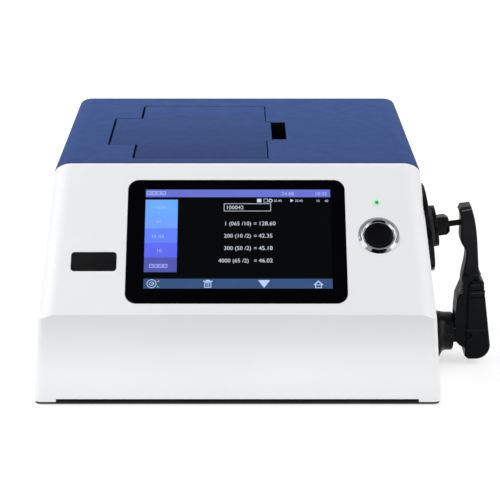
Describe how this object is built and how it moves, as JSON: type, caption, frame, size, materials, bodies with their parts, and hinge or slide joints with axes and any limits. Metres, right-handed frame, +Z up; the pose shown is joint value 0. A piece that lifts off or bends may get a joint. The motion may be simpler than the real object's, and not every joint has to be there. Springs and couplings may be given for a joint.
{
  "type": "benchtop colorimeter",
  "caption": "Benchtop colorimeter with a sloped touch screen, measure button, hinged sample lid and a spring clamp arm over a round measuring port on the side.",
  "frame": {"origin": "under the middle of the whole instrument, on the surface it stands on", "axes": "+Z up, -Y towards the operator and the screen, +X to the side with the measuring port and clamp arm"},
  "size_m": [0.382, 0.353, 0.177],
  "materials": {
    "casing_white": "fine satin moulding",
    "cover_blue": "satin moulding",
    "base_black": "satin",
    "foot_rubber": "matt",
    "black_plastic": "satin",
    "arm_plastic": "satin with a soft sheen",
    "panel_glass": "polished, black printed border",
    "display": "lit screen",
    "chrome_ring": "polished",
    "button_black": "polished",
    "lamp_green": "lit lens",
    "badge": "bare plate",
    "port_grey": "matt, light-trapping",
    "aperture_white": "matt white",
    "sphere_white": "matt white lining",
    "steel": "brushed",
    "screws": "plated",
    "sheet": "satin",
    "black_metal": "satin",
    "circuit": "printed circuit board",
    "window": "clear",
    "seal_foam": "soft foam"
  },
  "bodies": {
    "casing": {"housing": "casing_white", "top_cover": "cover_blue", "lid_hinge_pin": "steel", "lid_hinge_bracket": "sheet", "finger_cup": "black_plastic", "sample_chamber": "black_metal", "lid_seal": "seal_foam", "optics_deck": "sheet", "deck_posts": "steel", "base_plate": "base_black", "feet": "foot_rubber", "base_screws": "screws", "bracket_screws": "screws", "cover_screws": "screws", "rear_panel": "black_metal", "power_switch": "black_plastic", "dc_jack": "black_plastic", "usb_port": "steel", "serial_port": "steel", "touch_glass": "panel_glass", "lcd_panel": "display", "display_frame": "black_plastic", "display_board": "circuit", "button_ring": "chrome_ring", "button_nut": "steel", "button_switch": "black_plastic", "status_led": "lamp_green", "badge_plate": "badge", "port_collar": "port_grey", "sphere_front": "sphere_white", "sphere_back": "sphere_white", "sphere_stand": "black_plastic", "sphere_lamp": "black_metal", "spectrometer": "black_metal", "reflection_barrel": "black_metal", "transmission_barrel": "black_metal", "lamp_house": "sheet", "lamp_heatsink": "sheet", "lamp_barrel": "black_metal", "chamber_windows": "window", "sample_holder": "black_metal", "board_standoffs": "steel", "main_board": "circuit", "power_board": "circuit", "arm_bracket": "black_plastic", "arm_pin": "black_metal"},
    "lid_door": {"lid": "cover_blue"},
    "measure_button": {"button_cap": "button_black"},
    "clamp": {"clamp_arm": "arm_plastic", "arm_spring": "steel", "presser_stud": "black_metal"},
    "presser": {"presser_pad": "black_plastic", "pad_facing": "seal_foam", "presser_socket": "black_plastic"},
    "aperture": {"aperture_disc": "aperture_white"},
    "power_rocker": {"switch_rocker": "button_black"}
  },
  "joints": [
    {"name": "lid_hinge", "type": "hinge", "parent": "casing", "child": "lid_door", "pos_m": [-0.12579, 0.03655, 0.1695], "axis": [0, -1, 0], "range_deg": [0, 100]},
    {"name": "measure_press", "type": "slide", "parent": "casing", "child": "measure_button", "axis": [0, 0.7046, -0.7096], "range_m": [0, 0.0015], "stiffness_N_per_m": 600, "springref_m": -0.001},
    {"name": "arm_hinge", "type": "hinge", "parent": "casing", "child": "clamp", "pos_m": [0.17221, -0.074, 0.027], "axis": [0, 1, 0], "range_deg": [0, 25], "stiffness_Nm_per_rad": 1.5, "springref_deg": -34.38},
    {"name": "presser_turn", "type": "hinge", "parent": "clamp", "child": "presser", "pos_m": [0.1362, -0.074, 0.1208], "axis": [0.9895, 0, 0.1444], "continuous": true},
    {"name": "aperture_turn", "type": "hinge", "parent": "casing", "child": "aperture", "pos_m": [0.1362, -0.074, 0.1208], "axis": [0.9895, 0, 0.1444], "range_deg": [0, 30]},
    {"name": "power_rock", "type": "hinge", "parent": "casing", "child": "power_rocker", "pos_m": [-0.10379, 0.1685, 0.055], "axis": [-1, 0, 0], "range_deg": [0, 16]}
  ]
}
